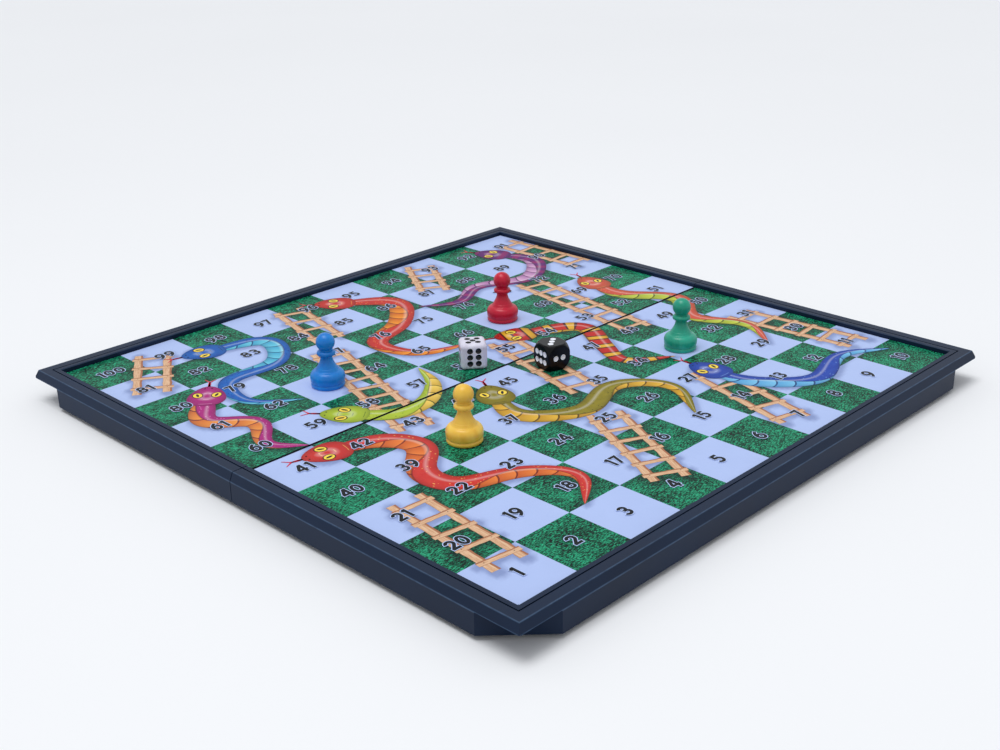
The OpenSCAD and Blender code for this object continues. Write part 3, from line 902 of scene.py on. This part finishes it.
def strokeMesh(path, closed, half, lift):
    # a line on each side of the path: each point moved along the mean of its two edges' normals, lengthened
    # so that the stroke keeps its width round a corner
    behind, ahead = path - np.roll(path, 1, 0), np.roll(path, -1, 0) - path
    if not closed:
        behind[0], ahead[-1] = ahead[0], behind[-1]
    normals = [np.stack([-step[:, 1], step[:, 0]], 1) / np.linalg.norm(step, axis=1, keepdims=True)
               for step in (behind, ahead)]
    side = (normals[0] + normals[1]) / (1 + (normals[0] * normals[1]).sum(1, keepdims=True)) * half
    flat = np.vstack([path + side, path - side])
    return np.column_stack([flat, np.full(len(flat), lift)]), gridFaces(2, len(path), closed)


def digitMesh(strokes, swell):
    # the strokes of a digit, each a hair over the last; swell widens and lengthens them
    half = numberLook["stroke"] / 2 + swell
    points, blocks, count = [], [], 0
    for number, (path, closed) in enumerate(strokes):
        if swell and not closed:
            tips = [path[0] - path[1], path[-1] - path[-2]]
            tips = [tip / np.linalg.norm(tip) * swell for tip in tips]
            path = np.vstack([path[0] + tips[0], path[1:-1], path[-1] + tips[1]])
        corners, faces = strokeMesh(path, closed, half, number * numberLook["lift"])
        points.append(corners)
        blocks.append(faces + count)
        count += len(corners)
    return np.vstack(points) * mm, blocks


def makeNumbers():
    # even rows run left to right, odd rows right to left
    digits, halos = PrintLayer("numbers", inks["number"]), PrintLayer("number_halos", inks["halo"])
    shapes = {digit: [digitMesh(strokes, swell) for swell in (0, numberLook["halo"])]
              for digit, strokes in digitStrokes().items()}
    spans = {digit: (shape[0][0][:, 0].min(), shape[0][0][:, 0].max()) for digit, shape in shapes.items()}
    gap, middle = numberLook["gap"] * mm, numberLook["high"] / 2 * mm
    width = board["squaresAcross"]
    for number in range(1, width * width + 1):
        row, step = divmod(number - 1, width)
        column = step if row % 2 == 0 else width - 1 - step
        body = str(number)
        long = sum(spans[digit][1] - spans[digit][0] for digit in body) + gap * (len(body) - 1)
        x, y = place(column, row) - [long / 2, middle]
        for digit in body:
            start = x - spans[digit][0]
            for layer, ink, (points, faces) in zip((digits, halos), ("number", "halo"), shapes[digit]):
                layer.add(points + [start, y, inkHeight(ink)], faces)
            x += spans[digit][1] - spans[digit][0] + gap
    digits.finish()
    halos.finish()


# Pawns: the outline in millimetres, radius then height, from the roof of the magnet's pocket out, down and
# up to the top of the ball, which starts 2.5 below its middle
pawnOutline = {
    "pocket": [(0, 2.2), (3.05, 2.2), (3.05, 0.12), (3.17, 0), (5.65, 0)],
    "lowRing": arcPoints((5.62, 0.85), (0.6, 0.85), -78, 60, 14),
    "notch": [(5.86, 1.76)],
    "bulgeUnder": arcPoints((5.2, 3.7), (1.18, 3.2), -33, 0, 16),
    "bulgeOver": arcPoints((4.0, 3.7), (2.38, 2.6), 0, 76, 22)[1:],
    "ledge": [(4.36, 6.38), (3.9, 7.12), (3.86, 7.24)],
    "skirt": bendPoints((3.7, 7.3), (3.17, 8.5), (2.27, 9.6), (2.22, 11.0), 22),
    "underCollar": bendPoints((2.22, 11.15), (2.22, 11.7), (2.32, 11.8), (2.4, 11.8), 6)[:-1],
    "collar": arcPoints((2.4, 12.8), 1.0, -90, 90, 18),
    "throat": [(2.45, 13.82), (2.3, 14.0)],
    "ball": arcPoints((0, 16.95), 3.45, math.degrees(math.asin(-2.5 / 3.45)), 90, 30),
}
pawnSpokes = 96
pawnTones = {"blue": ((0, 106, 196), (0, 140, 226)), "red": ((180, 0, 40), (212, 4, 54)),
             "green": ((14, 146, 118), (42, 176, 148)), "yellow": ((232, 176, 50), (246, 206, 84))}


def lathe(name, profile, centre, spokes):
    # each profile point's radius times (cos a, sin a), at its height; both ends are single points
    a = np.linspace(0, 2 * math.pi, spokes, endpoint=False)
    ring = profile[1:-1]
    x, y = ring[:, :1] * np.cos(a), ring[:, :1] * np.sin(a)
    z = np.broadcast_to(ring[:, 1:], x.shape)
    middle = np.stack([x, y, z], -1).reshape(-1, 3)
    points = np.vstack([middle, [[0, 0, profile[0, 1]], [0, 0, profile[-1, 1]]]]) + centre
    faces = gridFaces(len(ring), spokes, True)[:, ::-1]
    spoke = np.arange(spokes)
    after = (spoke + 1) % spokes
    start, end, last = len(middle), len(middle) + 1, (len(ring) - 1) * spokes
    first = np.stack([np.full(spokes, start), spoke, after], 1)
    top = np.stack([np.full(spokes, end), last + spoke, last + after], 1)
    return makeObject(name, points, [faces, first, top], smooth=True)


def makePawn(colour, tones):
    node = colour + "_pawn"
    low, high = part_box(node)
    centre = np.array([(low[0] + high[0]) / 2, (low[1] + high[1]) / 2, low[2]])
    piece = lathe(node + "_body", np.vstack(list(pawnOutline.values())) * mm, centre, pawnSpokes)
    recalculate(piece)
    setMaterials(piece, makeGlossPlastic(colour + "Plastic", tones))
    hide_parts(node)
    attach(piece, colour + "_piece")


# Dice, in millimetres

dieFaces = {  # across, up and outward on each face
    "top": ((1, 0, 0), (0, 1, 0), (0, 0, 1)), "bottom": ((1, 0, 0), (0, -1, 0), (0, 0, -1)),
    "front": ((1, 0, 0), (0, 0, 1), (0, -1, 0)), "back": ((1, 0, 0), (0, 0, -1), (0, 1, 0)),
    "left": ((0, 0, 1), (0, 1, 0), (-1, 0, 0)), "right": ((0, 0, -1), (0, 1, 0), (1, 0, 0)),
}
dice = {
    "white_die": {"body": "white_cube", "turn": -38, "shows": {"top": 5, "front": 6, "left": 4},
                  "round": 1.5, "ball": None, "pip": 1.13, "tones": ((204, 200, 220), (228, 227, 242)),
                  "ink": (8, 8, 14), "shine": 0.4},
    "black_die": {"body": "black_cube", "turn": -13, "shows": {"top": 3, "front": 2, "left": 6},
                  "round": 0.5, "ball": 7.05, "pip": 1.08, "tones": ((2, 2, 5), (6, 7, 12)),
                  "ink": (236, 240, 250), "shine": 0.16},
}
dieShape = {"cross": 1.8, "across": 2.5, "row": 1.6, "depth": 0.28, "cells": 72, "roughness": 0.2}


def pipPlaces(count):
    c, p, r = dieShape["cross"], dieShape["across"], dieShape["row"]
    corners = [(-c, -c), (c, c), (-c, c), (c, -c)]
    six = [(side * r, step * p) for side in (-1, 1) for step in (-1, 0, 1)]
    return {1: [(0, 0)], 2: [(-r, 0), (r, 0)], 3: [(-c, -c), (0, 0), (c, c)], 4: corners,
            5: corners + [(0, 0)], 6: six}[count]


def makeDie(node, form):
    # each face is a grid; its edge is rounded by pulling every point to a ball about the nearest inner point
    low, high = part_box(node)
    centre = (np.array(low) + np.array(high)) / 2
    halfSide = (high[2] - low[2]) / 2 / mm
    inner = halfSide - form["round"]
    shows = dict(form["shows"])
    for side, opposite in (("top", "bottom"), ("front", "back"), ("left", "right")):
        shows[opposite] = 7 - shows[side]
    grid = np.linspace(-halfSide, halfSide, dieShape["cells"] + 1)
    u, v = np.meshgrid(grid, grid, indexing="ij")
    allPoints, allFaces, allPips = [], [], []
    for side, (across, up, out) in dieFaces.items():
        across, up, out = np.array(across), np.array(up), np.array(out)
        points = u[..., None] * across + v[..., None] * up + halfSide * out
        if form["ball"]:
            length = np.linalg.norm(points, axis=-1, keepdims=True)
            points *= np.minimum(1, form["ball"] / length)
        core = np.clip(points, -inner, inner)
        away = points - core
        length = np.maximum(np.linalg.norm(away, axis=-1, keepdims=True), 1e-9)
        points = core + away / length * np.minimum(length, form["round"])
        spots = np.array(pipPlaces(shows[side]))
        near = np.sqrt(((np.stack([u, v], -1)[..., None, :] - spots) ** 2).sum(-1)).min(-1) / form["pip"]
        points = points - out * (dieShape["depth"] * np.clip(1 - near ** 2, 0, 1))[..., None]
        allFaces.append(gridFaces(*u.shape) + len(allPoints) * u.size)
        allPoints.append(points.reshape(-1, 3))
        allPips.append(near.ravel())
    a = math.radians(form["turn"])
    turn = np.array([[math.cos(a), -math.sin(a), 0], [math.sin(a), math.cos(a), 0], [0, 0, 1]])
    points = np.vstack(allPoints) @ turn.T * mm + centre
    piece = makeObject(node + "_body", points, allFaces, {"pip": np.concatenate(allPips)}, smooth=True)
    recalculate(piece)
    setMaterials(piece, makeDieSkin(node + "Plastic", form))
    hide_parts(node)
    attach(piece, form["body"])


# Build

paperInk, grassInk, plankInk = makePaper(), makeGrass(), makePlank()
inkTones = {"line": (58, 30, 22), "black": (12, 12, 16), "number": (6, 9, 14), "halo": paperLook["tone"],
            "eye": (236, 206, 70), "tongue": (206, 44, 70)}
inks = {inkName: makeInk(inkName + "Ink", inkTone) for inkName, inkTone in inkTones.items()}

makeLadders()
print("ladders printed")
makeSnakes()
print("snakes printed")
for halfName, halfFacts in halves.items():
    makeGround(halfName, halfFacts["side"])
makeNumbers()
print("squares and numbers printed")

for pawnColour, tonePair in pawnTones.items():
    makePawn(pawnColour, tonePair)
for dieNode, dieForm in dice.items():
    makeDie(dieNode, dieForm)
print("pieces turned")

finishes = {
    "case": makeCasePlastic(),
    "steel_plate": makeMetal("tinPlate", (0.6, 0.61, 0.63), 0.35, (0.05, 1, 1)),
    "hinge_pin": makeMetal("drawnWire", (0.65, 0.65, 0.67), 0.3, (0.02, 1, 1)),
    "magnet": makeMetal("nickelPlate", (0.42, 0.42, 0.44), 0.25, (1, 1, 1)),
    "feet": makeRubber(),
    "play_sheet": makeInk("sheetCore", (10, 12, 18)),
}
for nodeName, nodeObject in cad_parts.items():
    for ending, finish in finishes.items():
        if ending in nodeName:
            setMaterials(nodeObject, finish)
print("frame finished")

# Stage, light and camera

stageLook = {"size": 9.0, "floor": (243, 245, 248), "floorDim": (239, 241, 244), "floorRoughness": 0.9,
             "floorClouds": 3.0, "light": (0.582, 0.588, 0.6, 1.0), "sky": (234, 237, 241)}
floor = makeObject("floor", np.array([[-1, -1, 0], [1, -1, 0], [1, 1, 0], [-1, 1, 0]]) * stageLook["size"],
                   [np.array([[0, 1, 2, 3]])])
floorMaterial, floorShader, floorTree = newMaterial("floorPaper", Roughness=stageLook["floorRoughness"])
floorTone = surfaceNoise(floorTree, stageLook["floorClouds"])
feed(floorShader, "Base Color", blendColour(floorTone, stageLook["floor"], stageLook["floorDim"]))
setMaterials(floor, floorMaterial)

scene = bpy.context.scene
scene.view_settings.view_transform = "Standard"
world = bpy.data.worlds.new("studio")
world.use_nodes = True
# the sky lights the object evenly; seen directly or in a reflection, it has the floor's pale tone
seen = addNode(world.node_tree, "LightPath").outputs
direct = calc("ADD", plus(seen["Is Camera Ray"], seen["Is Glossy Ray"]), seen["Is Transmission Ray"],
              clamp=True)
sky = blendColour(direct, stageLook["light"], stageLook["sky"])
feed(world.node_tree.nodes["Background"], "Color", sky)
scene.world = world

lamps = {
    "keySun": {"kind": "SUN", "at": (-0.2, 0.15, 1.1), "power": 1.12, "spread": ("angle", math.radians(34))},
    "softBox": {"kind": "AREA", "at": (-0.1, -0.08, 0.6), "power": 0.5, "spread": ("size", 0.4)},
}
for lampName, lamp in lamps.items():
    light = bpy.data.lights.new(lampName, lamp["kind"])
    light.energy = lamp["power"]
    setattr(light, *lamp["spread"])
    holder = bpy.data.objects.new(lampName, light)
    holder.location = lamp["at"]
    holder.rotation_euler = (-holder.location).to_track_quat("-Z", "Y").to_euler()
    scene.collection.objects.link(holder)

view = {"eye": (-0.3296, -0.3215, 0.2006), "azimuth": 44.6, "down": 22.91, "roll": -1.04, "lens": 47.5,
        "nearest": 0.01}
azimuth, down, roll = (math.radians(view[key]) for key in ("azimuth", "down", "roll"))
ahead = Vector((math.cos(azimuth) * math.cos(down), math.sin(azimuth) * math.cos(down), -math.sin(down)))
level = ahead.cross(Vector((0, 0, 1))).normalized()
upright = level.cross(ahead)
right = level * math.cos(roll) + upright * math.sin(roll)
up = upright * math.cos(roll) - level * math.sin(roll)
camera = bpy.data.cameras.new("camera")
camera.lens = view["lens"]
camera.clip_start = view["nearest"]
cameraHolder = bpy.data.objects.new("camera", camera)
turned = Matrix((right, up, -ahead)).transposed().to_4x4()
cameraHolder.matrix_world = Matrix.Translation(view["eye"]) @ turned
scene.collection.objects.link(cameraHolder)
scene.camera = cameraHolder
print("stage set")
